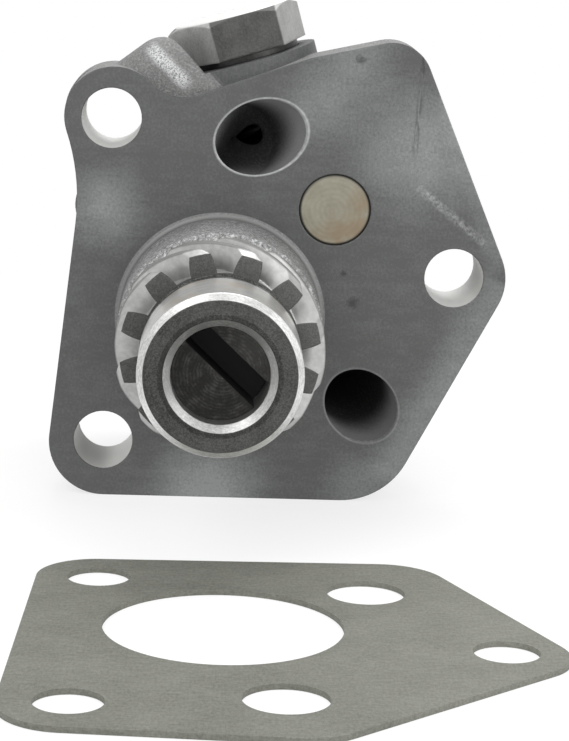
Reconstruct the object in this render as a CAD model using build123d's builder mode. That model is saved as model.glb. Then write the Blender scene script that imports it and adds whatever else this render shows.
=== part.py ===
from build123d import *
from math import atan2, cos, pi, radians, sin, tan
import os

# Engine oil pump, millimetres. +Z is up and the drive shaft lies along Y.
# The origin is where the shaft axis meets the mounting face of the flange.
# The drive gear points to -Y (into the engine) and the pump casing to +Y.

# Mounting flange
flange_t = 9.0
mount_hole_r = 4.7625
tl_hole = (-18.0, 31.5)
right_hole = (37.5, 7.4)
bl_hole = (-18.4, -20.8)
ear_r = 7.9
ear_centre = (-17.6, 31.7)
ear_length = 15.0
bolt_access_r = 8.0
rest_z = -30.0
low_left_r = 8.9
low_right_r = 12.0
low_right_x = 20.4
right_ear = (37.05, 7.2)
right_ear_r = 8.8
top_right = (26.2, 38.2)
top_right_r = 6.5
top_middle = (14.5, 38.1)
top_middle_r = 4.0
waist_corner = (-18.2, 26.2)
waist_corner_r = 4.0
waist_fillet = 34.0
dip_fillet = 7.0

# Neck that carries the shaft into the engine block
neck_r = 16.0
neck_length = 16.6
neck_fillet = 0.9
neck_chamfer = 1.2

# Shaft, bushings and drive gear
shaft_r = 7.14
rotor_seat_r = 6.35
bushing_wall = 1.6
bushing_length = 12.0
running_gap = 0.04
press_gap = 0.02
shaft_bore_gap = 0.4
washer_t = 1.4
washer_r = 12.5
end_gap = 0.1
gear_teeth = 12
gear_width = 11.5
gear_outer_r = 15.85
gear_pitch_r = 14.2
gear_root_r = 12.1
gear_helix_deg = 45.0
gear_phase_deg = 13.0
tooth_tip_half_deg = 4.6
tooth_pitch_half_deg = 7.2
tooth_root_half_deg = 9.6
tooth_sink = 0.6
tooth_chamfer_r = 0.85
tooth_chamfer_y = 1.2
hub_r = 12.0
hub_length = 17.6
hub_neck_r = 11.65
hub_neck_length = 2.8
hub_chamfer = 1.0
socket_depth = 4.0
socket_chamfer_r = 8.28
slot_width = 4.0
slot_depth = 6.0
slot_offset = 1.6
slot_angle_deg = -43.0
gear_pin_r = 2.0
gear_pin_angle_deg = 255.0
gear_pin_setback = 12.5
pin_end_gap = 0.2

# Rotor set: four lobes inside five
inner_lobe_count = 4
rotor_t = 17.0
eccentricity = 2.5
eccentric_deg = 24.0
lobe_centre_r = 17.5
lobe_r = 5.57
lobe_gap = 0.06
rotor_wall = 2.38
outer_rotor_gap = 0.07
rotor_side_gap = 0.05
valley_gap = 0.12
rotor_pin_r = 1.6
rotor_pin_cover = 0.9

# Casing behind the flange
chamber_floor_y = 24.5
housing_wall = 5.0
core_depth = 22.0
rim_t = 8.5
rim_wall = 7.5
kidney_depth = 4.0
kidney_inner_r = 10.4
kidney_outer_r = 15.8
kidney_land_deg = 20.0
shoulder_front_y = 1.4
shoulder_t = 9.6
shoulder_round_r = 4.4
shoulder_peak_r = 5.0
shoulder_points = ((-21.0, 37.1), (-10.6, 45.0), (2.0, 38.1), (2.0, 30.0), (-16.0, 26.0), (-21.0, 30.0))

# Ports in the mounting face and the passages behind them
inlet_port = (5.8, 29.2)
inlet_r = 5.85
inlet_tilt_deg = 38.7
inlet_lean_deg = 200.0
inlet_mouth_depth = 4.7
inlet_bend = (-4.6, 9.5, 25.2)
inlet_throat_r = 4.3
outlet_port = (23.4, -14.1)
outlet_r = 5.6
outlet_tilt_deg = 30.0
outlet_lean_deg = 132.0
outlet_reach = 26.0
port_wall = 3.6
port_run = (-9.3, -3.2)
bypass_plug = (17.9, 17.9)
bypass_plug_r = 5.75
bypass_plug_t = 6.0
bypass_plug_chamfer = 0.35
bypass_bore_r = 4.6
bypass_depth = 17.0
bypass_link_r = 2.8
bypass_link_setback = 2.0
bypass_link_turn_deg = 8.0

# Relief valve, leaning back over the top port
relief_seat = (2.68, 40.54)
relief_y = 13.5
relief_lean_deg = 16.4
relief_boss_r = 12.0
relief_spot_r = 13.1
relief_bore_r = 5.5
relief_bore_depth = 30.0
relief_pilot_r = 3.0
relief_pilot_depth = 45.0
relief_vent_r = 1.5
relief_vent_depth = 14.0
relief_thread_r = 6.35
relief_thread_length = 7.0
relief_thread_gap = 0.1
relief_thread_runout = 1.0
plug_hex_af = 19.05
plug_head_h = 6.6
plug_head_round_h = 1.0
plug_hex_turn_deg = 9.7
plug_gasket_t = 1.0
plug_gasket_r = 9.3
plunger_gap = 0.03
plunger_length = 13.0
plunger_floor = 3.0
plunger_wall = 1.2
spring_r = 3.4
spring_wire_r = 0.6
spring_coil_count = 6
spring_pocket_r = 4.5
spring_pocket_depth = 5.5

# Rear cover and its fasteners
cover_gasket_t = 0.4
cover_gasket_setback = 0.5
cover_t = 6.0
cover_boss_r = 14.0
cover_boss_h = 2.0
cover_land = 2.25
dowel_land = 1.2
screw_angles = (64.0, 148.0, 268.0, 322.0)
screw_r = 3.1
screw_hole_r = 3.25
screw_depth = 14.0
screw_end_gap = 1.0
screw_lug_wall = 2.75
screw_head_af = 11.1
screw_head_h = 4.3
screw_head_round_h = 0.6
head_bevel_deg = 28.0
lock_washer_r = 5.4
lock_washer_t = 1.6
lock_washer_split = 1.0
dowel_angles = (98.0, 295.0)
dowel_r = 2.5
dowel_length = 12.0

# Loose mounting gasket, lying in front of the pump
gasket_t = 0.8
gasket_place = (1.15, -70.3)
gasket_turn_deg = -1.7
gasket_centre_r = 16.3
gasket_hole_r = 4.5
gasket_port_r = 5.57
gasket_inlet = (8.5, 28.2)
gasket_outlet = (19.7, -17.1)
gasket_left_r = 8.9
gasket_right_r = 8.4
gasket_right_shift = 0.7
gasket_low = (22.5, -22.5)
gasket_low_r = 9.2
gasket_top = (10.5, 33.0)
gasket_top_r = 8.7

# Places worked out from the sizes above
mount_holes = (tl_hole, right_hole, bl_hole)
bushing_r = shaft_r + bushing_wall
neck_face_y = -neck_length
washer_face_y = neck_face_y - washer_t
gear_back_y = washer_face_y - end_gap
gear_face_y = gear_back_y - gear_width
hub_face_y = gear_face_y - hub_length
shaft_end_y = hub_face_y + socket_depth
outer_lobe_count = inner_lobe_count + 1
ring_valley_r = lobe_centre_r - lobe_r + 2 * eccentricity + valley_gap
outer_rotor_r = ring_valley_r + rotor_wall
chamber_r = outer_rotor_r + outer_rotor_gap
chamber_x = eccentricity * cos(radians(eccentric_deg))
chamber_z = eccentricity * sin(radians(eccentric_deg))
housing_r = chamber_r + housing_wall
rim_r = chamber_r + rim_wall
screw_lug_r = screw_hole_r + screw_lug_wall
screw_circle_r = chamber_r + cover_land + screw_hole_r
dowel_circle_r = chamber_r + dowel_land + dowel_r
casing_rear_y = chamber_floor_y + rotor_t + 2 * rotor_side_gap
cover_face_y = casing_rear_y + cover_gasket_t
cover_rear_y = cover_face_y + cover_t
relief_base = relief_seat[0], relief_y, relief_seat[1]
relief_axis = Plane(
    origin=relief_base,
    x_dir=(cos(radians(relief_lean_deg)), 0, sin(radians(relief_lean_deg))),
    z_dir=(-sin(radians(relief_lean_deg)), 0, cos(radians(relief_lean_deg))),
)
screw_points = [
    (chamber_x + screw_circle_r * cos(radians(a)), chamber_z + screw_circle_r * sin(radians(a)))
    for a in screw_angles
]
dowel_points = [
    (chamber_x + dowel_circle_r * cos(radians(a)), chamber_z + dowel_circle_r * sin(radians(a)))
    for a in dowel_angles
]


def level(y):
    """Sketch plane square to the shaft at this y, seen from the gear end."""
    return Plane.XZ.offset(-y)


def slanted(point, tilt_deg, lean_deg, start):
    """Plane across a passage that enters the mounting face at a point and leans away."""
    tilt = radians(tilt_deg)
    lean = radians(lean_deg)
    run = Vector(sin(tilt) * cos(lean), cos(tilt), sin(tilt) * sin(lean))
    origin = Vector(point[0], 0, point[1]) + run * start
    return Plane(origin=origin, z_dir=run)


def between(start, end):
    """Plane at start that faces the end point, and the distance to it."""
    run = Vector(*end) - Vector(*start)
    return Plane(origin=start, z_dir=run), run.length


def hex_head(across_flats, height, round_h):
    """Hexagon head standing on the XY plane, its top corners turned away."""
    corner_r = across_flats / 2 / cos(radians(30))
    with BuildPart() as head:
        Cylinder(corner_r, height, align=(Align.CENTER, Align.CENTER, Align.MIN))
        bevel_run = round_h / tan(radians(head_bevel_deg))
        chamfer(head.edges().sort_by(Axis.Z)[-1], length=round_h, length2=bevel_run)
        with BuildSketch():
            RegularPolygon(across_flats / 2, 6, major_radius=False)
        extrude(amount=height, mode=Mode.INTERSECT)
    return head.part


def write(part, name):
    part.label = name
    export_step(part, f"parts/{name}.step")


os.makedirs("parts", exist_ok=True)

# Flange outline, read anticlockwise as seen from the gear end
flange_corners = (
    ((bl_hole[0] + 0.1, rest_z + low_left_r), low_left_r),
    ((low_right_x, rest_z + low_right_r), low_right_r),
    (right_ear, right_ear_r),
    (top_right, top_right_r),
    (top_middle, top_middle_r),
    (waist_corner, waist_corner_r),
)
with BuildSketch() as flange_shape:
    with BuildLine():
        for centre, r in flange_corners:
            CenterArc(centre, r, 0, 360)
    make_hull()
    with Locations(ear_centre):
        Circle(ear_r)
    for side, radius in ((0, waist_fillet), (-1, dip_fillet)):
        ear_joints = flange_shape.vertices().filter_by(
            lambda v: (Vector(v.X, v.Y) - Vector(*ear_centre)).length < ear_r + 0.01
        )
        fillet(ear_joints.sort_by(Axis.X)[side], radius=radius)

# Casing mass between the flange and the rotor chamber
with BuildSketch() as core_shape:
    with BuildLine():
        CenterArc((chamber_x, chamber_z), housing_r, 0, 360)
        CenterArc(inlet_port, inlet_r + port_wall, 0, 360)
        CenterArc((inlet_port[0] + port_run[0], inlet_port[1] + port_run[1]), inlet_r + port_wall, 0, 360)
        CenterArc(bypass_plug, bypass_plug_r + port_wall, 0, 360)
        CenterArc(outlet_port, outlet_r + port_wall, 0, 360)
    make_hull()

# Shoulder that rises beside the relief valve's boss, round along its top
with BuildPart() as shoulder:
    with BuildSketch(level(shoulder_front_y + shoulder_t)):
        with BuildLine():
            Polyline(*shoulder_points, close=True)
        make_face()
    extrude(amount=shoulder_t)
    fillet(shoulder.edges().filter_by(Axis.Y).sort_by(Axis.Z)[-1], radius=shoulder_peak_r)
    ridge = [
        edge for side in (0, -1) for edge in shoulder.edges().group_by(Axis.Y)[side].sort_by(Axis.Z)[-3:]
    ]
    fillet(ridge, radius=shoulder_round_r)

kidney_mid_r = (kidney_inner_r + kidney_outer_r) / 2
inlet_kidney_deg = eccentric_deg + 90
inlet_drop_end = (
    kidney_mid_r * cos(radians(inlet_kidney_deg)),
    chamber_floor_y - kidney_depth / 2,
    kidney_mid_r * sin(radians(inlet_kidney_deg)),
)
inlet_drop, inlet_drop_length = between(inlet_bend, inlet_drop_end)
relief_vent, relief_vent_length = between(inlet_bend, relief_axis.offset(-relief_vent_depth).origin)
link_deg = eccentric_deg + kidney_land_deg + bypass_link_turn_deg
bypass_link, bypass_link_length = between(
    (bypass_plug[0], bypass_depth - bypass_link_setback, bypass_plug[1]),
    (
        kidney_mid_r * cos(radians(link_deg)),
        chamber_floor_y - kidney_depth / 2,
        kidney_mid_r * sin(radians(link_deg)),
    ),
)

with BuildPart() as pump_body:
    with BuildSketch(level(flange_t)):
        add(flange_shape.sketch)
    extrude(amount=flange_t)
    with BuildSketch(level(core_depth)):
        add(core_shape.sketch)
    extrude(amount=core_depth - flange_t)
    with BuildSketch(level(casing_rear_y)):
        with Locations((chamber_x, chamber_z)):
            Circle(housing_r)
    extrude(amount=casing_rear_y - core_depth)
    with BuildSketch(level(casing_rear_y)):
        with Locations((chamber_x, chamber_z)):
            Circle(rim_r)
    extrude(amount=rim_t)
    with BuildSketch(level(casing_rear_y)):
        with Locations(*screw_points):
            Circle(screw_lug_r)
    extrude(amount=screw_depth + screw_lug_wall)
    with BuildSketch(level(ear_length)):
        with Locations(*mount_holes):
            Circle(ear_r)
    extrude(amount=ear_length - flange_t)
    add(shoulder.part)
    with BuildSketch(relief_axis.offset(-relief_bore_depth)):
        Circle(relief_boss_r)
    extrude(amount=relief_bore_depth)
    with BuildSketch(level(0)):
        Circle(neck_r)
    extrude(amount=neck_length)
    neck_edges = pump_body.edges().filter_by(GeomType.CIRCLE).filter_by(
        lambda e: abs(e.radius - neck_r) < 0.01
    )
    fillet(neck_edges.sort_by(Axis.Y)[-1], radius=neck_fillet)
    chamfer(neck_edges.sort_by(Axis.Y)[0], length=neck_chamfer)

    # Rotor chamber, kidney ports and bolt access
    with BuildSketch(level(casing_rear_y)):
        with Locations((chamber_x, chamber_z)):
            Circle(chamber_r)
    extrude(amount=casing_rear_y - chamber_floor_y, mode=Mode.SUBTRACT)
    for centre_deg in (eccentric_deg + 90, eccentric_deg - 90):
        first = radians(centre_deg - 90 + kidney_land_deg)
        last = radians(centre_deg + 90 - kidney_land_deg)
        middle = radians(centre_deg)
        with BuildSketch(level(chamber_floor_y)):
            with BuildLine():
                inner = ThreePointArc(
                    *[(kidney_inner_r * cos(a), kidney_inner_r * sin(a)) for a in (first, middle, last)]
                )
                outer = ThreePointArc(
                    *[(kidney_outer_r * cos(a), kidney_outer_r * sin(a)) for a in (first, middle, last)]
                )
                Line(inner @ 0, outer @ 0)
                Line(inner @ 1, outer @ 1)
            make_face()
        extrude(amount=kidney_depth, mode=Mode.SUBTRACT)
    with BuildSketch(level(casing_rear_y)):
        with Locations(*mount_holes):
            Circle(bolt_access_r)
    extrude(amount=casing_rear_y - ear_length, mode=Mode.SUBTRACT)
    with BuildSketch(level(ear_length)):
        with Locations(*mount_holes):
            Circle(mount_hole_r)
    extrude(amount=ear_length, mode=Mode.SUBTRACT)

    # Shaft bore with a pocket for each bushing
    with BuildSketch(level(chamber_floor_y)):
        Circle(shaft_r + shaft_bore_gap)
    extrude(amount=chamber_floor_y + neck_length, mode=Mode.SUBTRACT)
    for pocket_y in (chamber_floor_y, neck_face_y + bushing_length):
        with BuildSketch(level(pocket_y)):
            Circle(bushing_r + press_gap)
        extrude(amount=bushing_length, mode=Mode.SUBTRACT)

    # Ports and passages
    with BuildSketch(slanted(inlet_port, inlet_tilt_deg, inlet_lean_deg, -inlet_r)):
        Circle(inlet_r)
    extrude(amount=inlet_r + inlet_mouth_depth, mode=Mode.SUBTRACT)
    with BuildSketch(slanted(inlet_port, inlet_tilt_deg, inlet_lean_deg, inlet_mouth_depth)):
        Circle(inlet_r)
    with BuildSketch(inlet_drop):
        Circle(inlet_throat_r)
    loft(mode=Mode.SUBTRACT)
    with BuildSketch(inlet_drop):
        Circle(inlet_throat_r)
    extrude(amount=inlet_drop_length, mode=Mode.SUBTRACT)
    with BuildSketch(slanted(outlet_port, outlet_tilt_deg, outlet_lean_deg, -outlet_r)):
        Circle(outlet_r)
    extrude(amount=outlet_reach + outlet_r, mode=Mode.SUBTRACT)
    with BuildSketch(level(bypass_plug_t)):
        with Locations(bypass_plug):
            Circle(bypass_plug_r + press_gap)
    extrude(amount=bypass_plug_t, mode=Mode.SUBTRACT)
    with BuildSketch(level(bypass_depth)):
        with Locations(bypass_plug):
            Circle(bypass_bore_r)
    extrude(amount=bypass_depth, mode=Mode.SUBTRACT)
    with BuildSketch(bypass_link):
        Circle(bypass_link_r)
    extrude(amount=bypass_link_length, mode=Mode.SUBTRACT)
    with BuildSketch(relief_vent):
        Circle(relief_vent_r)
    extrude(amount=relief_vent_length, mode=Mode.SUBTRACT)

    # Relief valve bore under its spot face
    with BuildSketch(relief_axis):
        Circle(relief_spot_r)
    extrude(amount=relief_boss_r, mode=Mode.SUBTRACT)
    for depth, radius in (
        (relief_thread_length + relief_thread_runout, relief_thread_r + relief_thread_gap),
        (relief_bore_depth, relief_bore_r),
        (relief_pilot_depth, relief_pilot_r),
    ):
        with BuildSketch(relief_axis):
            Circle(radius)
        extrude(amount=-depth, mode=Mode.SUBTRACT)

    # Tapped cover holes and dowel holes
    with BuildSketch(level(casing_rear_y)):
        with Locations(*screw_points):
            Circle(screw_hole_r)
    extrude(amount=screw_depth, mode=Mode.SUBTRACT)
    with BuildSketch(level(casing_rear_y)):
        with Locations(*dowel_points):
            Circle(dowel_r + press_gap)
    extrude(amount=dowel_length / 2, mode=Mode.SUBTRACT)
write(pump_body.part, "pump_body")

for name, front_y in (("front_bushing", neck_face_y), ("rear_bushing", chamber_floor_y - bushing_length)):
    with BuildPart() as bushing:
        with BuildSketch(level(front_y + bushing_length)):
            Circle(bushing_r)
            Circle(shaft_r + running_gap, mode=Mode.SUBTRACT)
        extrude(amount=bushing_length)
    write(bushing.part, name)

with BuildPart() as thrust_washer:
    with BuildSketch(level(neck_face_y)):
        Circle(washer_r)
        Circle(shaft_r + running_gap, mode=Mode.SUBTRACT)
    extrude(amount=washer_t)
write(thrust_washer.part, "thrust_washer")

gear_pin_dir = Vector(cos(radians(gear_pin_angle_deg)), 0, sin(radians(gear_pin_angle_deg)))
gear_pin_y = hub_face_y + gear_pin_setback
gear_pin_depth = hub_r + shaft_r
gear_pin_plane = Plane(
    origin=gear_pin_dir * -shaft_r + Vector(0, gear_pin_y, 0),
    z_dir=gear_pin_dir,
)
rotor_mid_y = chamber_floor_y + rotor_side_gap + rotor_t / 2
inner_min_r = lobe_centre_r - lobe_r - eccentricity
rotor_pin_half = inner_min_r - rotor_pin_cover
pin_deg = eccentric_deg + 180
rotor_pin_plane = Plane(
    origin=(
        -rotor_pin_half * cos(radians(pin_deg)), rotor_mid_y, -rotor_pin_half * sin(radians(pin_deg))
    ),
    z_dir=(cos(radians(pin_deg)), 0, sin(radians(pin_deg))),
)

with BuildPart() as drive_shaft:
    with BuildSketch(level(chamber_floor_y)):
        Circle(shaft_r)
    extrude(amount=chamber_floor_y - shaft_end_y)
    with BuildSketch(level(chamber_floor_y + rotor_side_gap + rotor_t)):
        Circle(rotor_seat_r)
    extrude(amount=rotor_t + rotor_side_gap)
    with BuildSketch(level(shaft_end_y + slot_depth)):
        with Locations(Rotation(0, 0, slot_angle_deg)):
            with Locations((0, slot_offset)):
                Rectangle(2 * shaft_r + 2, slot_width)
    extrude(amount=slot_depth, mode=Mode.SUBTRACT)
    with BuildSketch(gear_pin_plane):
        Circle(gear_pin_r + press_gap)
    extrude(amount=gear_pin_depth, mode=Mode.SUBTRACT)
    with BuildSketch(rotor_pin_plane):
        Circle(rotor_pin_r + press_gap)
    extrude(amount=2 * rotor_pin_half, mode=Mode.SUBTRACT)
write(drive_shaft.part, "drive_shaft")


def tooth_section(y):
    """One tooth's outline on its own plane, turned along the helix."""
    lead = tan(radians(gear_helix_deg)) / gear_pitch_r
    middle = radians(gear_phase_deg) + lead * (y - gear_face_y)
    flank = (
        (gear_root_r - tooth_sink, tooth_root_half_deg),
        (gear_pitch_r, tooth_pitch_half_deg),
        (gear_outer_r, tooth_tip_half_deg),
    )
    left = [(r * cos(middle + radians(a)), r * sin(middle + radians(a))) for r, a in flank]
    right = [(r * cos(middle - radians(a)), r * sin(middle - radians(a))) for r, a in flank]
    crest = (gear_outer_r * cos(middle), gear_outer_r * sin(middle))
    with BuildSketch(level(y)) as section:
        with BuildLine():
            ThreePointArc(*right)
            ThreePointArc(right[2], crest, left[2])
            ThreePointArc(*reversed(left))
            Line(left[0], right[0])
        make_face()
    return section.sketch


with BuildPart() as gear_tooth:
    steps = 5
    for i in range(steps + 1):
        add(tooth_section(gear_back_y - gear_width * i / steps))
    loft()

with BuildPart() as drive_gear:
    with BuildSketch(level(gear_back_y)):
        Circle(gear_root_r)
    extrude(amount=gear_width)
    for i in range(gear_teeth):
        add(gear_tooth.part.rotate(Axis.Y, 360 / gear_teeth * i))
    for face_y, inward in ((gear_face_y, 1), (gear_back_y, -1)):
        corner_y = face_y - inward * tooth_chamfer_y
        with BuildSketch(Plane.XY):
            with BuildLine():
                Polyline(
                    (gear_outer_r - tooth_chamfer_r, face_y),
                    (gear_outer_r + tooth_chamfer_r, face_y + 2 * inward * tooth_chamfer_y),
                    (gear_outer_r + tooth_chamfer_r, corner_y),
                    (gear_outer_r - tooth_chamfer_r, corner_y),
                    close=True,
                )
            make_face()
        revolve(axis=Axis.Y, mode=Mode.SUBTRACT)
    with BuildSketch(level(gear_face_y)):
        Circle(hub_neck_r)
    extrude(amount=hub_neck_length)
    with BuildSketch(level(gear_face_y - hub_neck_length)):
        Circle(hub_r)
    extrude(amount=hub_length - hub_neck_length)
    with BuildSketch(level(gear_back_y)):
        Circle(shaft_r + press_gap)
    extrude(amount=gear_width + hub_length, mode=Mode.SUBTRACT)
    with BuildSketch(gear_pin_plane):
        Circle(gear_pin_r + press_gap)
    extrude(amount=gear_pin_depth, mode=Mode.SUBTRACT)
    mouth = drive_gear.edges().filter_by(GeomType.CIRCLE).group_by(Axis.Y)[0].sort_by(
        lambda e: e.radius
    )
    chamfer(mouth[0], length=socket_chamfer_r - shaft_r)
    chamfer(mouth[-1], length=hub_chamfer)
write(drive_gear.part, "drive_gear")

with BuildPart() as gear_pin:
    with BuildSketch(gear_pin_plane):
        Circle(gear_pin_r)
    extrude(amount=gear_pin_depth - pin_end_gap)
write(gear_pin.part, "gear_pin")


def inner_rotor_point(turn):
    """A point of the inner rotor, which rolls inside the outer rotor's round lobes."""
    ratio = lobe_centre_r / (eccentricity * outer_lobe_count)
    lean = atan2(sin(-inner_lobe_count * turn), ratio - cos(inner_lobe_count * turn))
    roll = outer_lobe_count * turn
    x = lobe_centre_r * cos(turn) - lobe_r * cos(turn + lean) - eccentricity * cos(roll)
    z = -lobe_centre_r * sin(turn) + lobe_r * sin(turn + lean) + eccentricity * sin(roll)
    mesh = radians(pin_deg)
    return x * cos(mesh) - z * sin(mesh), x * sin(mesh) + z * cos(mesh)


with BuildPart() as inner_rotor:
    lobe_points = 24
    lobe_turn = 2 * pi / inner_lobe_count
    with BuildSketch(level(chamber_floor_y + rotor_side_gap + rotor_t)):
        with BuildLine():
            for lobe in range(inner_lobe_count):
                turns = [lobe_turn * (lobe + i / lobe_points) for i in range(lobe_points + 1)]
                ends = [radians(pin_deg) - turn for turn in (turns[0], turns[-1])]
                Spline(
                    *[inner_rotor_point(turn) for turn in turns],
                    tangents=[(sin(a), -cos(a)) for a in ends],
                )
        make_face()
        Circle(rotor_seat_r + press_gap, mode=Mode.SUBTRACT)
    extrude(amount=rotor_t)
    with BuildSketch(rotor_pin_plane):
        Circle(rotor_pin_r + press_gap)
    extrude(amount=2 * rotor_pin_half, mode=Mode.SUBTRACT)
write(inner_rotor.part, "inner_rotor")

with BuildPart() as rotor_pin:
    with BuildSketch(rotor_pin_plane.offset(pin_end_gap)):
        Circle(rotor_pin_r)
    extrude(amount=2 * (rotor_pin_half - pin_end_gap))
write(rotor_pin.part, "rotor_pin")

with BuildPart() as outer_rotor:
    with BuildSketch(level(chamber_floor_y + rotor_side_gap + rotor_t)):
        with Locations((chamber_x, chamber_z)):
            Circle(outer_rotor_r)
            Circle(ring_valley_r, mode=Mode.SUBTRACT)
            with PolarLocations(lobe_centre_r, outer_lobe_count, start_angle=pin_deg):
                Circle(lobe_r - lobe_gap)
    extrude(amount=rotor_t)
    with BuildSketch(level(chamber_floor_y + rotor_side_gap + rotor_t)):
        with Locations((chamber_x, chamber_z)):
            Circle(outer_rotor_r + lobe_r)
            Circle(outer_rotor_r, mode=Mode.SUBTRACT)
    extrude(amount=rotor_t, mode=Mode.SUBTRACT)
write(outer_rotor.part, "outer_rotor")


def cover_outline():
    """Round outline of the cover with a lug at each screw and a bite for each mounting bolt."""
    with BuildSketch() as outline:
        with Locations((chamber_x, chamber_z)):
            Circle(rim_r)
        with Locations(*screw_points):
            Circle(screw_lug_r)
        with Locations(*mount_holes):
            Circle(bolt_access_r, mode=Mode.SUBTRACT)
    return outline.sketch


def cover_holes():
    """The screw and dowel holes of the cover and its gasket."""
    with BuildSketch() as holes:
        with Locations(*screw_points):
            Circle(screw_hole_r)
        with Locations(*dowel_points):
            Circle(dowel_r + press_gap)
    return holes.sketch


with BuildPart() as cover_gasket:
    with BuildSketch(level(cover_face_y)):
        add(cover_outline())
        add(cover_holes(), mode=Mode.SUBTRACT)
        with Locations((chamber_x, chamber_z)):
            Circle(chamber_r + cover_gasket_setback, mode=Mode.SUBTRACT)
    extrude(amount=cover_gasket_t)
write(cover_gasket.part, "cover_gasket")

with BuildPart() as rear_cover:
    with BuildSketch(level(cover_rear_y)):
        add(cover_outline())
    extrude(amount=cover_t)
    with BuildSketch(level(cover_rear_y)):
        add(cover_holes())
    extrude(amount=cover_t, mode=Mode.SUBTRACT)
    with BuildSketch(level(cover_rear_y + cover_boss_h)):
        with Locations((chamber_x, chamber_z)):
            Circle(cover_boss_r)
    extrude(amount=cover_boss_h)
write(rear_cover.part, "rear_cover")

with BuildPart() as cover_dowels:
    with BuildSketch(level(casing_rear_y + dowel_length / 2 - pin_end_gap)):
        with Locations(*dowel_points):
            Circle(dowel_r)
    extrude(amount=dowel_length - 2 * pin_end_gap)
write(cover_dowels.part, "cover_dowels")

with BuildPart() as cover_lock_washers:
    with BuildSketch(level(cover_rear_y + lock_washer_t)):
        with Locations(*screw_points):
            Circle(lock_washer_r)
            Circle(screw_hole_r, mode=Mode.SUBTRACT)
            with Locations((0, lock_washer_r)):
                Rectangle(lock_washer_split, 2 * lock_washer_r - screw_hole_r, mode=Mode.SUBTRACT)
    extrude(amount=lock_washer_t)
write(cover_lock_washers.part, "cover_lock_washers")

screw_seat_y = cover_rear_y + lock_washer_t
with BuildPart() as cover_screws:
    with BuildSketch(level(screw_seat_y)):
        with Locations(*screw_points):
            Circle(screw_r)
    extrude(amount=screw_seat_y - casing_rear_y + screw_depth - screw_end_gap)
    for x, z in screw_points:
        head_place = Plane(origin=(x, screw_seat_y, z), z_dir=(0, 1, 0)).location
        add(head_place * hex_head(screw_head_af, screw_head_h, screw_head_round_h))
write(cover_screws.part, "cover_screws")

with BuildPart() as relief_plunger:
    with BuildSketch(relief_axis.offset(-relief_bore_depth)):
        Circle(relief_bore_r - plunger_gap)
    extrude(amount=plunger_length)
    with BuildSketch(relief_axis.offset(-relief_bore_depth + plunger_floor)):
        Circle(relief_bore_r - plunger_gap - plunger_wall)
    extrude(amount=plunger_length, mode=Mode.SUBTRACT)
write(relief_plunger.part, "relief_plunger")

with BuildPart() as relief_plug_gasket:
    with BuildSketch(relief_axis):
        Circle(plug_gasket_r)
        Circle(relief_thread_r + relief_thread_gap, mode=Mode.SUBTRACT)
    extrude(amount=plug_gasket_t)
write(relief_plug_gasket.part, "relief_plug_gasket")

with BuildPart() as relief_plug:
    with BuildSketch(relief_axis.offset(-relief_thread_length)):
        Circle(relief_thread_r)
    extrude(amount=relief_thread_length + plug_gasket_t)
    head_place = relief_axis.offset(plug_gasket_t).location * Rotation(0, 0, plug_hex_turn_deg)
    add(head_place * hex_head(plug_hex_af, plug_head_h, plug_head_round_h))
    with BuildSketch(relief_axis.offset(-relief_thread_length)):
        Circle(spring_pocket_r)
    extrude(amount=spring_pocket_depth, mode=Mode.SUBTRACT)
write(relief_plug.part, "relief_plug")

spring_low = -relief_bore_depth + plunger_floor
spring_high = -relief_thread_length + spring_pocket_depth
spring_length = spring_high - spring_low
with BuildPart() as relief_spring:
    with BuildLine() as coil:
        Helix(
            pitch=(spring_length - 2 * spring_wire_r) / spring_coil_count,
            height=spring_length - 2 * spring_wire_r,
            radius=spring_r,
            center=relief_axis.offset(spring_low + spring_wire_r).origin,
            direction=relief_axis.z_dir,
        )
    with BuildSketch(Plane(origin=coil.line @ 0, z_dir=coil.line % 0)):
        Circle(spring_wire_r)
    sweep(is_frenet=True)
write(relief_spring.part, "relief_spring")

with BuildPart() as passage_plug:
    with BuildSketch(level(bypass_plug_t)):
        with Locations(bypass_plug):
            Circle(bypass_plug_r)
    extrude(amount=bypass_plug_t)
    chamfer(passage_plug.edges().sort_by(Axis.Y)[0], length=bypass_plug_chamfer)
write(passage_plug.part, "passage_plug")

# Outline of the loose gasket: a round corner at each hole and port
gasket_corners = (
    (bl_hole, gasket_left_r),
    (tl_hole, gasket_left_r),
    ((right_hole[0], right_hole[1] + gasket_right_shift), gasket_right_r),
    (gasket_low, gasket_low_r),
    (gasket_top, gasket_top_r),
)
gasket_plane = Plane(
    origin=(gasket_place[0], gasket_place[1], rest_z + gasket_t),
    x_dir=(cos(radians(gasket_turn_deg)), sin(radians(gasket_turn_deg)), 0),
    z_dir=(0, 0, -1),
)
with BuildPart() as mounting_gasket:
    with BuildSketch(gasket_plane):
        with BuildLine():
            for centre, r in gasket_corners:
                CenterArc(centre, r, 0, 360)
        make_hull()
        Circle(gasket_centre_r, mode=Mode.SUBTRACT)
        with Locations(*mount_holes):
            Circle(gasket_hole_r, mode=Mode.SUBTRACT)
        with Locations(gasket_inlet, gasket_outlet):
            Circle(gasket_port_r, mode=Mode.SUBTRACT)
    extrude(amount=gasket_t)
write(mounting_gasket.part, "mounting_gasket")
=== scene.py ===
import bpy
from math import cos, radians, sin
from mathutils import Matrix, Vector


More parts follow.
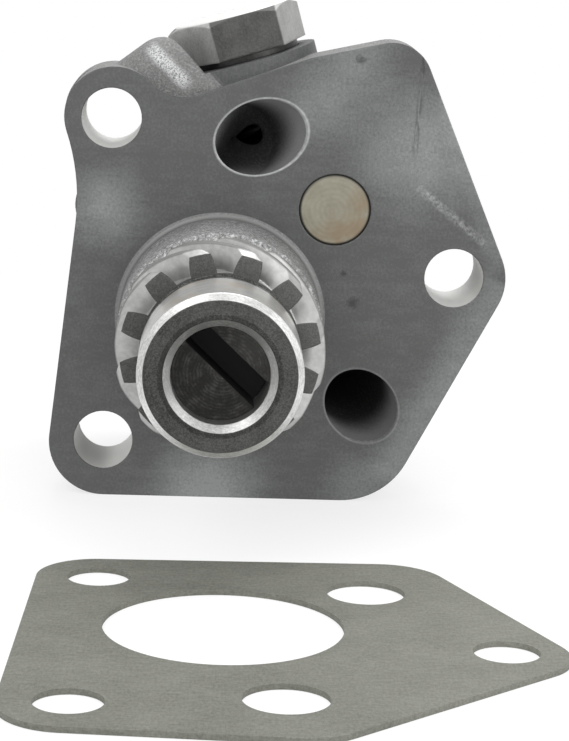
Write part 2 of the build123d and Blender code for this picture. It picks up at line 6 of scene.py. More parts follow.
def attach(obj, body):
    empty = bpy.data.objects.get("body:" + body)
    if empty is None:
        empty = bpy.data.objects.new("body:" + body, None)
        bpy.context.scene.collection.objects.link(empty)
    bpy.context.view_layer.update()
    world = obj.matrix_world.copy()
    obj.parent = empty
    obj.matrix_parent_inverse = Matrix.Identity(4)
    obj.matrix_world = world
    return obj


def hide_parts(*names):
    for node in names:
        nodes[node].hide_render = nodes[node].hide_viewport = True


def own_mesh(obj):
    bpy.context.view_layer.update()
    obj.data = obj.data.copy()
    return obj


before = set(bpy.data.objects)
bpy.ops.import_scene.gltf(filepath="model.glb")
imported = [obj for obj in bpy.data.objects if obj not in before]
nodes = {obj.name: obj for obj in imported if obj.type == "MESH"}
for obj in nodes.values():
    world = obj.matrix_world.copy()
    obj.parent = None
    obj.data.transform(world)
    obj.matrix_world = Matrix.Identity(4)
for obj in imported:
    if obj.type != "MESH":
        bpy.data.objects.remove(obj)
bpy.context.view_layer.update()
for thing in bpy.context.selected_objects:
    thing.select_set(False)
bpy.context.view_layer.objects.active = None
mm = 0.001  # the sizes below are in millimetres, Blender's in metres
print("frame loaded:", len(nodes), "nodes")


# Shader maths as plain expressions
class Wire:
    def __init__(self, finish, socket):
        self.finish = finish
        self.socket = socket

    def math(self, operation, *others):
        return self.finish.node("Math", {"operation": operation}, dict(enumerate((self, *others))))

    def __add__(self, other):
        return self.math("ADD", other)

    def __sub__(self, other):
        return self.math("SUBTRACT", other)

    def __rsub__(self, other):
        return self.finish.node("Math", {"operation": "SUBTRACT"}, {0: other, 1: self})

    def __mul__(self, other):
        return self.math("MULTIPLY", other)

    def __pow__(self, other):
        return self.math("POWER", other)

    def __abs__(self):
        return self.math("ABSOLUTE")

    __radd__ = __add__
    __rmul__ = __mul__

    # From 0 at low to 1 at high, smooth between; low may be the greater of the two
    def rise(self, low, high):
        limits = {"Value": self, "From Min": low, "From Max": high}
        return self.finish.node("MapRange", {"interpolation_type": "SMOOTHSTEP"}, limits)

    def sine(self):
        return self.math("SINE")

    def most(self, other):
        return self.math("MAXIMUM", other)

    def clamp(self):
        return self.finish.node("Clamp", None, {"Value": self})


# A material made from its look, with the place on the piece in millimetres
class Finish:
    def __init__(self, name, look):
        self.look = look
        self.material = bpy.data.materials.new(name)
        self.material.use_nodes = True
        self.tree = self.material.node_tree
        self.shader = self.tree.nodes["Principled BSDF"]
        self.shader.inputs["Roughness"].default_value = look["roughness"]
        self.shader.inputs["Metallic"].default_value = look["metal"]
        metres = self.node("TexCoord", out="Object")
        self.place = self.node("VectorMath", {"operation": "SCALE"}, {0: metres, "Scale": 1 / mm})
        self.x, self.y, self.z = [self.node("SeparateXYZ", None, {0: self.place}, out=i) for i in range(3)]

    # Any node: its type, its settings, then the values or links of its sockets
    def node(self, kind, settings=None, sockets=None, out=0):
        made = self.tree.nodes.new("ShaderNode" + kind)
        for name, value in (settings or {}).items():
            setattr(made, name, value)
        for name, value in (sockets or {}).items():
            if isinstance(value, Wire):
                self.tree.links.new(value.socket, made.inputs[name])
            else:
                made.inputs[name].default_value = value
        return Wire(self, made.outputs[out])

    def stretched(self, x, y, z):
        return self.node("VectorMath", {"operation": "MULTIPLY"}, {0: self.place, 1: (x, y, z)})

    # Noise with its grains about one size across
    def grain(self, size, detail, where=None, rough=0.5):
        sockets = {"Vector": where or self.place, "Scale": 1 / size, "Detail": detail, "Roughness": rough}
        return self.node("TexNoise", None, sockets)

    # Two colours mixed: a Mix node has its colours at inputs 6 and 7, and the result at output 2
    def blend(self, share, low, high):
        sockets = {0: share}
        for name, color in ((6, low), (7, high)):
            sockets[name] = color if isinstance(color, Wire) else (*color, 1)
        return self.node("Mix", {"data_type": "RGBA"}, sockets, out=2)

    # Distance from an axis square to the flange's face
    def distance(self, x, z):
        return ((self.x - x) ** 2 + (self.z - z) ** 2) ** 0.5

    # Distance from a point in space
    def reach(self, x, y, z):
        return ((self.x - x) ** 2 + (self.y - y) ** 2 + (self.z - z) ** 2) ** 0.5

    # Distance from the line through two points, and the way along it
    def line(self, start, end):
        way = (Vector(end) - Vector(start)).normalized()
        x, y, z = self.x - start[0], self.y - start[1], self.z - start[2]
        along = x * way.x + y * way.y + z * way.z
        return (x**2 + y**2 + z**2 - along**2) ** 0.5, along

    # Share of a straight mark between two points of the flange's face
    def mark(self, start, end, width):
        run = Vector(end) - Vector(start)
        way = run.normalized()
        x, z = self.x - start[0], self.z - start[1]
        across = abs(x * way.y - z * way.x)
        along = x * way.x + z * way.y
        ends = along.rise(-1, 1) * along.rise(run.length + 2, run.length - 1)
        return across.rise(width, width * 0.2) * ends

    # Bumps, over softened edges where the look has them
    def bumps(self, height):
        look = self.look
        sockets = {"Height": height, "Distance": look["bumpDepth"] * mm, "Strength": look["bumpStrength"]}
        if look["softEdge"]:
            sockets["Normal"] = self.node("Bevel", {"samples": 4}, {"Radius": look["softEdge"] * mm})
        return self.node("Bump", None, sockets)

    def set(self, **links):
        for name, value in links.items():
            socket = self.shader.inputs[name.replace("_", " ")]
            if isinstance(value, Wire):
                self.tree.links.new(value.socket, socket)
            else:
                socket.default_value = value

    def wear(self, *names):
        for name in names:
            nodes[name].data.materials.clear()
            nodes[name].data.materials.append(self.material)


# The bores of the body that the photograph's side shows
bores = {
    "bolts": ((-18.0, 31.5), (37.5, 7.4), (-18.4, -20.8)),
    "boltRadius": 4.9,
    # Of each port: the middle of its mouth, a second point of its axis, its radius, the strength of the
    # painted highlight on its lip
    "ports": (
        ((5.8, 0, 29.2), (-0.076, 7.804, 27.062), 5.85, 0.75),
        ((23.4, 0, -14.1), (20.054, 8.66, -10.384), 5.6, 0.2),
    ),
    "portDepth": 21.0,
    # The inlet goes round a bend, then down a narrower drop towards a second point
    "bend": (-4.6, 9.5, 25.2),
    "bendRadius": 8.0,
    "drop": (-5.1, 22.7, 11.5),
    "dropRadius": 5.2,
    "dropDepth": 24.2,
}

# The relief valve: the middle of its seat on the boss, its lean, and its bore under the seat
reliefValve = {
    "seat": (2.68, 13.5, 40.54),
    "lean": radians(16.4),
    "boreRadius": 5.55,
    "boreTop": -9.0,  # the plug's thread stands above it
}

# Bare metal for scratches, and the colour of painted glints and highlights
bareMetalAndGlint = (0.65, 0.66, 0.66)
oilStain = (0.035, 0.035, 0.034)

faceLook = {
    "ground": (0.106, 0.108, 0.106),
    "rubbedAndSheen": (0.28, 0.29, 0.29),
    "cloudSize": 9,
    "rubSize": 2.2,
    # Rubbed patches that carry painted sheen: x, z, reach and lightness
    "rubsAndSheen": (
        (31, 28, 15, 0.7),
        (20, 42, 10, 0.5),
        (15, 34, 9, 0.5),
        (-19, 17, 9, 0.7),
        (-1, -29, 13, 1.0),
        (24, -28, 9, 0.45),
    ),
    # Painted highlights along edges: their two ends, reach and lightness
    "edgeHighlights": (
        ((46.5, 6.0), (29.4, -26.5), 7.0, 0.45),
        ((35.0, 37.0), (45.2, 10.0), 3.5, 0.25),
    ),
    "scratch": ((31.2, 21.8), (41.8, 13.4)),
    "scratchWidth": 1.0,
    "scratchLight": 0.4,
    "streak": ((31.2, 43.5), (30.3, 27.5)),
    "streakWidth": 0.7,
    "streakShade": 0.5,
    # Stains: x, z and reach
    "stains": ((21.1, 41.8, 1.2), (21.4, 2.9, 1.5), (19.6, 7.6, 0.8)),
    "stainWobble": 1.6,
    "stainShade": 0.6,
}

bodyLook = {
    "roughness": 0.4,
    "metal": 0.7,
    "softEdge": 0.35,
    "bumpDepth": 0.25,
    "bumpStrength": 0.8,
    "speckSize": 0.45,
    "sandSize": 0.36,
    "gritSize": 0.5,
    "cast": (0.14, 0.14, 0.138),
    "castLight": (0.32, 0.323, 0.318),
    "lumpHighlight": ((-12.2, 42.6), (-6.6, 37.4)),
    "lumpHighlightWidth": 1.7,
    "neckRadius": 16.95,
    "neckBand": (0.21, 0.21, 0.208),
    "neckBandEnd": -1.4,
    "bossRadius": 12.0,
    "bossBand": (0.082, 0.085, 0.085),
    "bossBandDepth": 5.0,
    "bore": (0.62, 0.62, 0.6),
    # Painted shade inside the ports: grey at the mouth, going black between the two depths of mouthFade
    "mouthWall": (0.16, 0.16, 0.16),
    "deepShade": (0.004, 0.004, 0.004),
    "mouthFade": (1.0, 6.5),  # the depths between which a port's wall goes black
}


# The way across the relief valve, back from its middle, and up from its seat
def reliefPlace(finish):
    seat = reliefValve["seat"]
    lean = reliefValve["lean"]
    x = finish.x - seat[0]
    z = finish.z - seat[2]
    return x * cos(lean) + z * sin(lean), finish.y - seat[1], z * cos(lean) - x * sin(lean)


# Colour of the ground face: rubbed patches with painted sheen, painted highlights along edges, a scratch,
# a dark streak and stains
def groundFace(iron, speck):
    look = faceLook
    cloud = iron.grain(look["cloudSize"], 4, rough=0.6)
    rub = iron.grain(look["rubSize"], 3, iron.stretched(0.5, 1, 1.4))
    rubAndSheenPatches = sum(iron.distance(x, z).rise(reach, 0) * light for x, z, reach, light in look["rubsAndSheen"])
    # painted highlights along the right-hand edges of the face
    for start, end, reach, light in look["edgeHighlights"]:
        rubAndSheenPatches = rubAndSheenPatches + iron.mark(start, end, reach) * light
    # painted sheen: the patches lighten the face where the light falls brightest
    share = rubAndSheenPatches * (cloud + 0.5) + (cloud - 0.5) * 0.25 + (rub - 0.5) * 0.35
    share = share + (speck - 0.5) * (rubAndSheenPatches * 1.3 + 0.7) + 0.04
    color = iron.blend(share.clamp(), look["ground"], look["rubbedAndSheen"])
    broken = iron.grain(0.9, 5, rough=0.7).rise(0.35, 0.75)
    scratch = iron.mark(*look["scratch"], look["scratchWidth"]) * broken
    color = iron.blend(scratch * look["scratchLight"], color, bareMetalAndGlint)
    thin = iron.grain(0.5, 3, iron.stretched(1, 1, 0.15)).rise(0.42, 0.6)
    streak = iron.mark(*look["streak"], look["streakWidth"]) * thin
    color = iron.blend(streak * look["streakShade"], color, oilStain)
    wobble = (iron.grain(0.9, 3) - 0.5) * look["stainWobble"]
    for x, z, reach in look["stains"]:
        stain = (iron.distance(x, z) + wobble).rise(reach, 0)
        color = iron.blend(stain * look["stainShade"], color, oilStain)
    return color


# Colour of the cast skin: sandy, gritty on the neck with painted glints, smooth at the neck's foot and
# round the boss, with a painted highlight along the lump's ridge
def castSkin(iron, sand, neck, neckBand, bossBand):
    look = bodyLook
    share = sand.rise(0.4, 0.72) * 0.75 + iron.grain(3, 2) * 0.25 + neck * 0.35
    color = iron.blend(share, look["cast"], look["castLight"])
    # painted highlight: bright specks along the ridge of the lump
    lump = iron.grain(0.25, 4, rough=0.75).rise(0.38, 0.58) * iron.y.rise(0.3, 1)
    lump = lump * iron.mark(*look["lumpHighlight"], look["lumpHighlightWidth"])
    color = iron.blend(lump, color, bareMetalAndGlint)
    grit = iron.grain(look["gritSize"], 3, rough=0.8)
    # painted glints in the neck's grit
    color = iron.blend(neck * grit.rise(0.52, 0.64) * 0.75, color, bareMetalAndGlint)
    color = iron.blend(neck * grit.rise(0.46, 0.36) * 0.65, color, oilStain)
    color = iron.blend(neckBand, color, look["neckBand"])
    streaks = iron.grain(0.8, 3, iron.stretched(1.6, 1, 0.25))
    return iron.blend(bossBand * (0.9 - streaks * 0.35), color, look["bossBand"])


# Colour with painted highlights on the lips of the ports
def lipHighlights(iron, color):
    uneven = iron.grain(0.7, 3) * 0.8 + 0.2
    for start, end, radius, light in bores["ports"]:
        away = iron.line(start, end)[0]
        lip = away.rise(radius + 0.4, radius + 0.15) * away.rise(radius - 0.1, radius)
        color = iron.blend(lip * iron.y.rise(0.5, 0.2) * uneven * light, color, bareMetalAndGlint)
    return color


# Share of painted shade on the walls inside the ports, the inlet's way down and the relief bore
def insideWallShade(iron):
    inside = iron.reach(*bores["bend"]).rise(bores["bendRadius"] + 0.3, bores["bendRadius"])
    away, along = iron.line(bores["bend"], bores["drop"])
    drop = away.rise(bores["dropRadius"] + 0.1, bores["dropRadius"]) * along.rise(-1, 0)
    inside = inside.most(drop * iron.y.rise(bores["dropDepth"] + 0.1, bores["dropDepth"]))
    across, back, up = reliefPlace(iron)
    relief = (across**2 + back**2) ** 0.5
    relief = relief.rise(reliefValve["boreRadius"] + 0.1, reliefValve["boreRadius"])
    inside = inside.most(relief * up.rise(reliefValve["boreTop"] + 0.5, reliefValve["boreTop"]))
    shallow = iron.y.rise(bores["portDepth"] + 0.3, bores["portDepth"])
    for start, end, radius, _ in bores["ports"]:
        away = iron.line(start, end)[0]
        inside = inside.most(away.rise(radius + 0.1, radius + 0.04) * shallow)
    return inside * iron.y.rise(0.25, 0.8)


def bodyIron():
    look = bodyLook
    iron = Finish("cast iron body", look)
    speck = iron.grain(look["speckSize"], 3, rough=0.75)
    sand = iron.grain(look["sandSize"], 4, rough=0.75)
    radius = iron.distance(0, 0)
    facing = iron.y.rise(0.3, 0.12) * radius.rise(look["neckRadius"] - 0.1, look["neckRadius"])
    neck = iron.y.rise(0.1, -0.1) * radius.rise(look["neckRadius"], look["neckRadius"] - 0.1)
    neckBand = neck * iron.y.rise(look["neckBandEnd"] - 0.6, look["neckBandEnd"] + 0.6)
    across, back, up = reliefPlace(iron)
    bossBand = up.rise(-look["bossBandDepth"], 0.4 - look["bossBandDepth"])
    boss = (across**2 + back**2) ** 0.5
    bossBand = bossBand * boss.rise(look["bossRadius"] + 0.4, look["bossRadius"] + 0.2)
    skin = castSkin(iron, sand, neck, neckBand, bossBand)
    color = iron.blend(facing, skin, groundFace(iron, speck))
    boltRadius = bores["boltRadius"]
    bolts = sum(iron.distance(x, z).rise(boltRadius + 0.02, boltRadius) for x, z in bores["bolts"])
    bolts = bolts * iron.y.rise(0.05, 0.2)
    color = lipHighlights(iron, iron.blend(bolts, color, look["bore"]))
    inside = insideWallShade(iron)
    shade = iron.y.rise(*look["mouthFade"]) - sand.rise(0.45, 0.7) * 0.15
    # painted shade inside the ports and bores
    color = iron.blend(inside, color, iron.blend(shade, look["mouthWall"], look["deepShade"]))
    sandy = (1 - facing) * (1 - bolts) * (1 - neckBand * 0.85) * (1 - bossBand * 0.8)
    height = facing * speck * 0.12 + sandy * sand
    iron.set(
        Base_Color=color,
        Roughness=look["roughness"] + (1 - facing) * 0.2 - bolts * 0.12 + inside * 0.2,
        Metallic=look["metal"] - inside * 0.65,
        Normal=iron.bumps(height),
    )
    return iron


gearLook = {
    "roughness": 0.28,
    "metal": 1.0,
    "softEdge": 0.3,
    "bumpDepth": 0.06,
    "bumpStrength": 0.6,
    "speckSize": 0.22,
    "lineSize": 0.3,
    "stainSize": 4,
    "hubFace": -47.2,
    "hubRadius": 12.0,
    "chamfer": 1.3,
    "innerRing": 8.9,
    "grooveEnd": -33.6,
    "teethFace": -29.6,
    "tipRadius": 15.6,
    "turned": (0.33, 0.33, 0.325),
    "bright": (0.52, 0.52, 0.51),
    "tip": (0.24, 0.24, 0.235),
    "hubTurned": (0.52, 0.52, 0.51),
    "hubBright": (0.93, 0.925, 0.91),
    # warm: the colour of the painted highlight on the hub's upper part
    "warm": (0.62, 0.5, 0.36),
    # groove and grooveLight: the painted shade at the hub's foot and its lighter marks
    "groove": (0.06, 0.06, 0.058),
    "grooveLight": (0.19, 0.19, 0.184),
    "edge": (0.42, 0.42, 0.41),
    "edgeWornAndLit": (0.85, 0.85, 0.84),
    "dull": (0.028, 0.028, 0.0265),
    "dullLight": (0.12, 0.12, 0.114),
    "toothEnd": (0.062, 0.062, 0.059),
    "toothEndLight": (0.17, 0.17, 0.164),
}


# The cut teeth, with duller tips
def cutTeeth(steel, stain, tips):
    look = gearLook
    share = steel.grain(0.9, 3, steel.stretched(1, 0.3, 1)).rise(0.2, 0.8) * 0.6 + stain * 0.4
    color = steel.blend(share, look["turned"], look["bright"])
    return steel.blend(tips * 0.8, color, look["tip"])


# The turned hub, with a warm painted highlight on its upper part and painted shade in and beside the
# groove at its foot
def turnedHub(steel, color, hub, lines, stain):
    look = gearLook
    share = lines.rise(0.3, 0.7) * 0.7 + stain.rise(0.3, 0.7) * 0.3
    color = steel.blend(hub, color, steel.blend(share, look["hubTurned"], look["hubBright"]))
    # painted highlight: a warm tint on the hub's upper part
    warmHighlight = stain.rise(0.45, 0.7) * steel.z.rise(4, 11) * hub
    color = steel.blend(warmHighlight * 0.45, color, look["warm"])
    # painted shade over the groove and a little of the hub beyond it
    groove = steel.y.rise(look["grooveEnd"] - 0.3, look["grooveEnd"]) * hub
    marks = steel.grain(0.25, 2, steel.stretched(1, 0.2, 1)).rise(0.4, 0.6)
    return steel.blend(groove, color, steel.blend(marks, look["groove"], look["grooveLight"]))


# The chamfer round the hub's face, lighter where it is worn and lighter towards its lower part as painted
# highlight
def chamferWearAndHighlight(steel, color, edge, innerRing, stain):
    look = gearLook
    worn = steel.grain(0.5, 4, steel.stretched(1, 3, 1), rough=0.7).rise(0.3, 0.7) * 0.6
    # painted highlight: the chamfer grows lighter towards its lower part
    worn = worn + stain.rise(0.3, 0.7) * 0.4 - innerRing * 0.45 + steel.z.rise(-3, -12) * 0.4
    return steel.blend(edge, color, steel.blend(worn.clamp(), look["edge"], look["edgeWornAndLit"]))


# The dull ends of the teeth and the dull face of the hub, which has faint turning rings; both grow lighter
# towards the right
def dullFaces(steel, color, teethFace, hubFace, radius, innerRing, speck):
    look = gearLook
    ends = speck.rise(0.3, 0.75) * 0.7 + steel.x.rise(-12, 14) * 0.3
    color = steel.blend(teethFace, color, steel.blend(ends, look["toothEnd"], look["toothEndLight"]))
    rings = (radius * 9 + steel.grain(2, 2) * 5).sine() * 0.04
    tone = speck.rise(0.35, 0.7) * 0.65 + rings + steel.x.rise(-12, 2) * 0.2
    tone = tone + steel.grain(3, 3).rise(0.3, 0.8) * 0.2 - innerRing * 0.35
    return steel.blend(hubFace, color, steel.blend(tone.clamp(), look["dull"], look["dullLight"]))


def gearSteel():
    look = gearLook
    steel = Finish("gear steel", look)
    radius = steel.distance(0, 0)
    hubFace = steel.y.rise(look["hubFace"] + 0.12, look["hubFace"] + 0.04)
    chamferEnd = look["hubFace"] + look["chamfer"]
    edge = steel.y.rise(chamferEnd, chamferEnd - 0.3) * (1 - hubFace)
    innerRing = radius.rise(look["innerRing"] + 0.2, look["innerRing"])
    hub = steel.y.rise(look["teethFace"] + 0.1, look["teethFace"])
    hub = hub * radius.rise(look["hubRadius"] + 0.1, look["hubRadius"])
    teethFace = steel.y.rise(look["teethFace"] + 0.1, look["teethFace"] + 0.04)
    teethFace = teethFace * steel.y.rise(look["teethFace"] - 0.3, look["teethFace"] - 0.1)
    teethFace = teethFace * radius.rise(look["hubRadius"] - 0.3, look["hubRadius"] - 0.1)
    tips = radius.rise(look["tipRadius"], look["tipRadius"] + 0.2)
    speck = steel.grain(look["speckSize"], 3, rough=0.75)
    lines = steel.grain(look["lineSize"], 3, steel.stretched(0.05, 2.6, 0.05), rough=0.7)
    stain = steel.grain(look["stainSize"], 3)
    color = cutTeeth(steel, stain, tips)
    color = turnedHub(steel, color, hub, lines, stain)
    color = chamferWearAndHighlight(steel, color, edge, innerRing, stain)
    color = dullFaces(steel, color, teethFace, hubFace, radius, innerRing, speck)
    dull = hubFace.most(teethFace)
    height = lines * hub * 0.3 + speck * (0.2 + dull * 0.8)
    steel.set(
        Base_Color=color,
        Roughness=look["roughness"] + dull * 0.26 + speck * 0.12 + tips * 0.25,
        Metallic=look["metal"] - dull * 0.3,
        Normal=steel.bumps(height),
    )
    return steel


shaftLook = {
    "roughness": 0.42,
    "metal": 0.8,
    "softEdge": 0.2,
    "bumpDepth": 0.02,
    "bumpStrength": 0.3,
    "ringCentre": (0.3, -0.2),
    "smearSize": 1.8,
    "dark": (0.015, 0.0148, 0.014),
    "light": (0.088, 0.086, 0.08),
    # Painted shade: the slot is painted near black, fading in from the shaft's end
    "slot": (0.02, 0.02, 0.02),
    "slotFade": (-43.05, -42.7),  # from the shaft's end into its slot
}


def shaftSteel():
    look = shaftLook
    steel = Finish("shaft steel", look)
    rings = (steel.distance(*look["ringCentre"]) * 13 + steel.grain(1.5, 3) * 9).sine() * 0.5 + 0.5
    smear = steel.grain(look["smearSize"], 4, rough=0.7)
    share = rings * 0.35 * smear.rise(0.35, 0.7) + smear.rise(0.45, 0.8) * 0.35
    # lighter towards the upper right
    share = share + steel.x.rise(-2, 7) * steel.z.rise(-5, 5) * 0.4
    share = share + steel.grain(0.3, 3).rise(0.4, 0.8) * 0.15
    # painted shade in the slot
    inSlot = steel.y.rise(*look["slotFade"])
    color = steel.blend(inSlot, steel.blend(share, look["dark"], look["light"]), look["slot"])
    steel.set(
        Base_Color=color,
        Roughness=look["roughness"] + inSlot * 0.2,
        Normal=steel.bumps(rings * smear),
    )
    return steel


plugLook = {
    "roughness": 0.45,
    "metal": 0.5,
    "softEdge": 0.25,
    "bumpDepth": 0.04,
    "bumpStrength": 0.5,
    "centre": (17.9, 17.9),
    "ringCentre": (17.4, 17.6),
    "tan": (0.235, 0.221, 0.17),
    "tanLight": (0.345, 0.332, 0.27),
    "brown": (0.235, 0.16, 0.09),
    "rim": (0.035, 0.034, 0.03),
    "rimRadius": 5.35,
}


def plugTan():
    look = plugLook
    metal = Finish("passage plug", look)
    rings = (metal.distance(*look["ringCentre"]) * 7.5 + metal.grain(2.5, 3) * 5).sine() * 0.5 + 0.5
    worn = metal.grain(2.2, 4, rough=0.65)
    share = rings * 0.25 * worn + worn.rise(0.25, 0.75) * 0.6
    color = metal.blend(share, look["tan"], look["tanLight"])
    stain = metal.grain(4, 3).rise(0.35, 0.6) * (metal.x - metal.z).rise(-3, 5)
    color = metal.blend(stain * 0.6, color, look["brown"])
    rim = metal.distance(*look["centre"]).rise(look["rimRadius"] - 0.25, look["rimRadius"] + 0.25)
    color = metal.blend(rim * 0.85, color, look["rim"])
    metal.set(Base_Color=color, Normal=metal.bumps(rings * worn))
    return metal


# The hexagon plug: the left and right edges of its front face, its height, and how far its
# left corner stands before its axis, as far as its right corner stands behind it
hexLook = {
    "roughness": 0.42,
    "metal": 0.7,
    "softEdge": 0.4,
    "bumpDepth": 0.12,
    "bumpStrength": 0.7,
    "leftEdge": -3.8,
    "rightEdge": 7.0,
    "sideCorner": 1.85,
    "height": 7.5,
    # Painted light on the hexagon: its front face in painted shade, its side faces lit, its top a painted
    # highlight
    "front": (0.038, 0.038, 0.036),
    "frontLight": (0.125, 0.125, 0.12),
    "side": (0.24, 0.24, 0.235),
    "sideLight": (0.48, 0.48, 0.47),
    "top": (0.66, 0.66, 0.65),
}


def plugDark():
    look = hexLook
    steel = Finish("relief plug", look)
    across, back, up = reliefPlace(steel)
    speck = steel.grain(0.4, 4, rough=0.75)
    drawn = steel.grain(0.7, 3, steel.stretched(1.5, 1.5, 0.35))
    share = speck.rise(0.3, 0.8) * 0.45 + drawn * 0.25 + steel.grain(3.0, 3).rise(0.3, 0.7) * 0.3
    left = across.rise(look["leftEdge"] + 0.2, look["leftEdge"] - 0.2)
    left = left * back.rise(0.2 - look["sideCorner"], -0.2 - look["sideCorner"])
    right = across.rise(look["rightEdge"] - 0.2, look["rightEdge"] + 0.2)
    right = right * back.rise(look["sideCorner"] + 0.2, look["sideCorner"] - 0.2)
    # painted shade on the front face and painted light on the side faces
    front = steel.blend(share, look["front"], look["frontLight"])
    color = steel.blend(left.most(right), front, steel.blend(share, look["side"], look["sideLight"]))
    # painted highlight on the top face
    color = steel.blend(up.rise(look["height"] - 0.15, look["height"]), color, look["top"])
    steel.set(
        Base_Color=color,
        Roughness=look["roughness"] + speck * 0.2,
        Normal=steel.bumps(speck),
    )
    return steel


gasketLook = {
    "roughness": 0.85,
    "metal": 0.0,
    "softEdge": 0,
    "bumpDepth": 0.1,
    "bumpStrength": 0.6,
    "fibreSize": 0.4,
    "strandSize": 0.5,
    "cloudSize": 8,
    "lightSide": (0, 50),
    "dark": (0.09, 0.092, 0.077),
    "light": (0.215, 0.217, 0.187),
}


def gasketPaper():
    look = gasketLook
    paper = Finish("gasket paper", look)
    fibre = paper.grain(look["fibreSize"], 5, paper.stretched(1, 0.45, 1), rough=0.8)
    strands = paper.grain(look["strandSize"], 3, paper.stretched(0.3, 1.6, 1), rough=0.7)
    cloud = paper.grain(look["cloudSize"], 3)
    share = fibre.rise(0.3, 0.7) * 0.5 + strands.rise(0.35, 0.65) * 0.25 + cloud.rise(0.3, 0.7) * 0.15
    # lighter towards the right
    share = share + paper.x.rise(*look["lightSide"]) * 0.25
    color = paper.blend(share, look["dark"], look["light"])
    paper.set(Base_Color=color, Normal=paper.bumps(fibre * 0.6 + strands * 0.4))
    return paper


coverLook = {
    "roughness": 0.55,
    "metal": 0.7,
    "softEdge": 0.5,
    "bumpDepth": 0.25,
    "bumpStrength": 0.7,
    "sandSize": 0.5,
    "cast": (0.12, 0.12, 0.118),
    "castLight": (0.34, 0.34, 0.335),
}


def castCover():
    look = coverLook
    iron = Finish("cover iron", look)
    sand = iron.grain(look["sandSize"], 4, rough=0.75)
    color = iron.blend(sand.rise(0.3, 0.75), look["cast"], look["castLight"])
    iron.set(Base_Color=color, Normal=iron.bumps(sand))
    return iron


plainLook = {
    "metal": 1.0,
    "softEdge": 0.2,
    "bumpDepth": 0.04,
    "bumpStrength": 0.4,
    "speckSize": 0.6,
}

# Each plain metal: its dark and its light colour, its roughness and the nodes that wear it
plainMetals = {
    "zinc screw steel": (
        (0.38, 0.38, 0.37), (0.55, 0.55, 0.53), 0.35,
        ("cover_screws", "cover_lock_washers"),
    ),
    "pin steel": (
        (0.3, 0.3, 0.3), (0.45, 0.45, 0.45), 0.3,
        ("cover_dowels", "gear_pin", "rotor_pin"),
    ),
    "sintered steel": (
        (0.14, 0.14, 0.142), (0.22, 0.22, 0.222), 0.5,
        ("inner_rotor", "outer_rotor", "relief_plunger"),
    ),
    "spring steel": (
        (0.012, 0.012, 0.012), (0.03, 0.03, 0.03), 0.6,
        ("relief_spring",),
    ),
    "bearing bronze": (
        (0.45, 0.3, 0.14), (0.66, 0.47, 0.25), 0.35,
        ("front_bushing", "rear_bushing", "thrust_washer"),
    ),
    # Painted shade: the sealing ring is near black to read as the shade under the hexagon
    "sealing ring in painted shade": (
        (0.025, 0.025, 0.024), (0.07, 0.07, 0.068), 0.4,
        ("relief_plug_gasket",),
    ),
}


def plainMetal(name, low, high, roughness):
    metal = Finish(name, {**plainLook, "roughness": roughness})
    speck = metal.grain(plainLook["speckSize"], 3)
    metal.set(Base_Color=metal.blend(speck, low, high), Normal=metal.bumps(speck))
    return metal


bodyIron().wear("pump_body")
gearSteel().wear("drive_gear")
shaftSteel().wear("drive_shaft")
plugTan().wear("passage_plug")
plugDark().wear("relief_plug")
gasketPaper().wear("mounting_gasket", "cover_gasket")
castCover().wear("rear_cover")
for name, (low, high, roughness, wearers) in plainMetals.items():
    plainMetal(name, low, high, roughness).wear(*wearers)
print("finishes on")

# The relief spring: a copy of its mesh with doubled points merged, held to the casing; its upper end stays
# in the plug
springLook = {
    "length": 25.5,
    "top": -1.5,
    "travel": 6.0,
    "mergeWithin": 0.001,
}


def reliefSpring():
    look = springLook
    coil = bpy.data.objects.new("relief_spring_coil", nodes["relief_spring"].data.copy())
    coil.matrix_world = nodes["relief_spring"].matrix_world
    bpy.context.collection.objects.link(coil)
    coil.select_set(True)
    bpy.context.view_layer.objects.active = coil
    bpy.ops.object.mode_set(mode="EDIT")
    bpy.ops.mesh.select_all(action="SELECT")
    bpy.ops.mesh.remove_doubles(threshold=look["mergeWithin"] * mm)
    bpy.ops.object.mode_set(mode="OBJECT")
    coil.select_set(False)
    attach(coil, "casing")
    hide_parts("relief_spring")
    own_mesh(coil)


reliefSpring()
print("relief spring made")

# The photograph's camera, with the object standing on its flange's lower edge
cameraView = {
    "place": (-2.696, -372.987, 68.680),
    "azimuth": -2.0609,
    "elevation": 11.6878,
    "roll": 1.9784,
    "focalPixels": 2351.75,
    "longSide": 741,
    "sensor": 36.0,
    "nearest": 0.01,
}


def photoCamera():
    view = cameraView
    azimuth, elevation, roll = [radians(view[name]) for name in ("azimuth", "elevation", "roll")]
    back = Vector((sin(azimuth) * cos(elevation), -cos(azimuth) * cos(elevation), sin(elevation)))
    right = Vector((cos(azimuth), sin(azimuth), 0))
    up = back.cross(right)
    sideways = cos(roll) * right + sin(roll) * up
    upwards = cos(roll) * up - sin(roll) * right
    bpy.ops.object.camera_add()
    camera = bpy.context.object
    turned = Matrix((sideways, upwards, back)).transposed()
    camera.matrix_world = Matrix.Translation(Vector(view["place"]) * mm) @ turned.to_4x4()
    camera.data.sensor_width = view["sensor"]
    camera.data.lens = view["focalPixels"] * view["sensor"] / view["longSide"]
    camera.data.clip_start = view["nearest"]
    bpy.context.scene.camera = camera


# Soft lamps that look at the origin: place and size in metres, and watts
lamps = {
    "key": ((-0.5, -0.6, 0.75), 0.6, 4.5),
    "fill": ((0.6, -0.5, 0.35), 0.5, 2.5),
    "top": ((0.1, 0.35, 0.8), 0.6, 4),
}


def softLamp(name, place, size, watts):
    bpy.ops.object.light_add(type="AREA", location=place)
    lamp = bpy.context.object
    lamp.name = name
    lamp.rotation_euler = (-Vector(place)).to_track_quat("-Z", "Y").to_euler()
    lamp.data.size = size
    lamp.data.energy = watts


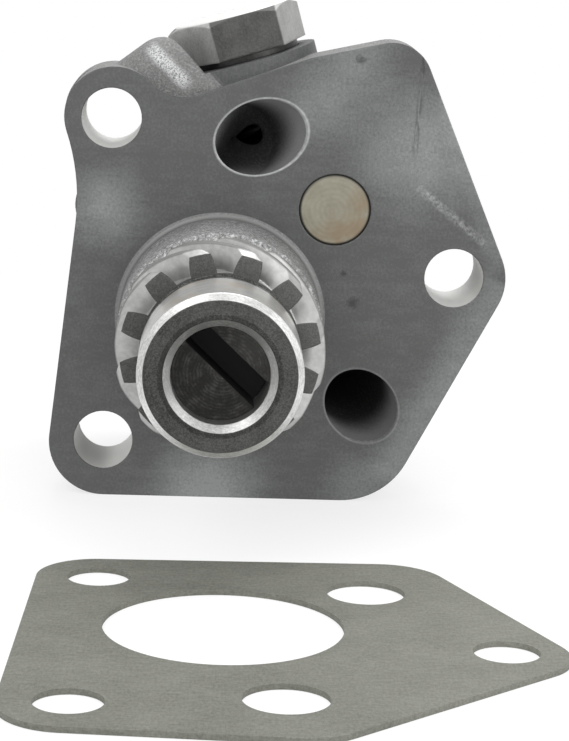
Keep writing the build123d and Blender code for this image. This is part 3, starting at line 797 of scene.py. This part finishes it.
studio = {
    "worldLight": 0.75,  # on the object; the background itself is white
    "floorSize": 6.0,
    "floorLevel": -30.03,  # just under the flange's lower edge and the gasket
    "glowCentre": (0, -20, 0),  # in the floor's own plane
    "glowNear": 0.72,
    "glowFar": 1.0,
    "nearReach": 90,
    "farReach": 240,
}

floorLook = {
    "roughness": 0.9,
    "metal": 0.0,
    "color": (0.9, 0.9, 0.9, 1),
}


# 1 for the rays of the camera and of mirror reflections, 0 for all others
def seenDirectly(tree):
    path = tree.nodes.new("ShaderNodeLightPath")
    seen = tree.nodes.new("ShaderNodeMath")
    seen.operation = "MAXIMUM"
    tree.links.new(path.outputs["Is Camera Ray"], seen.inputs[0])
    tree.links.new(path.outputs["Is Glossy Ray"], seen.inputs[1])
    return seen.outputs[0]


def whiteWorld():
    world = bpy.data.worlds.new("studio")
    bpy.context.scene.world = world
    world.use_nodes = True
    tree = world.node_tree
    background = tree.nodes["Background"]
    background.inputs["Color"].default_value = (1, 1, 1, 1)
    strength = tree.nodes.new("ShaderNodeMapRange")
    strength.inputs["To Min"].default_value = studio["worldLight"]
    strength.inputs["To Max"].default_value = 1.0
    tree.links.new(seenDirectly(tree), strength.inputs["Value"])
    tree.links.new(strength.outputs[0], background.inputs["Strength"])


# The floor: it keeps the object's shadow, and further away it glows as white as the world
def whiteFloor():
    look = studio
    bpy.ops.mesh.primitive_plane_add(size=look["floorSize"], location=(0, 0, look["floorLevel"] * mm))
    floor = bpy.context.object
    floor.name = "floor"
    paint = Finish("white floor", floorLook)
    paint.set(Base_Color=floorLook["color"])
    away = paint.reach(*look["glowCentre"]).rise(look["nearReach"], look["farReach"])
    glow = away * (look["glowFar"] - look["glowNear"]) + look["glowNear"]
    tree = paint.tree
    share = glow * Wire(paint, seenDirectly(tree))
    white = paint.node("Emission", None, {"Strength": 1.0})
    mix = paint.node("MixShader", None, {0: share, 2: white})
    tree.links.new(paint.shader.outputs[0], mix.socket.node.inputs[1])
    tree.links.new(mix.socket, tree.nodes["Material Output"].inputs["Surface"])
    floor.data.materials.append(paint.material)


whiteWorld()
whiteFloor()
for name, (place, size, watts) in lamps.items():
    softLamp(name, place, size, watts)
photoCamera()
bpy.context.scene.view_settings.view_transform = "Standard"
print("camera and lights set")
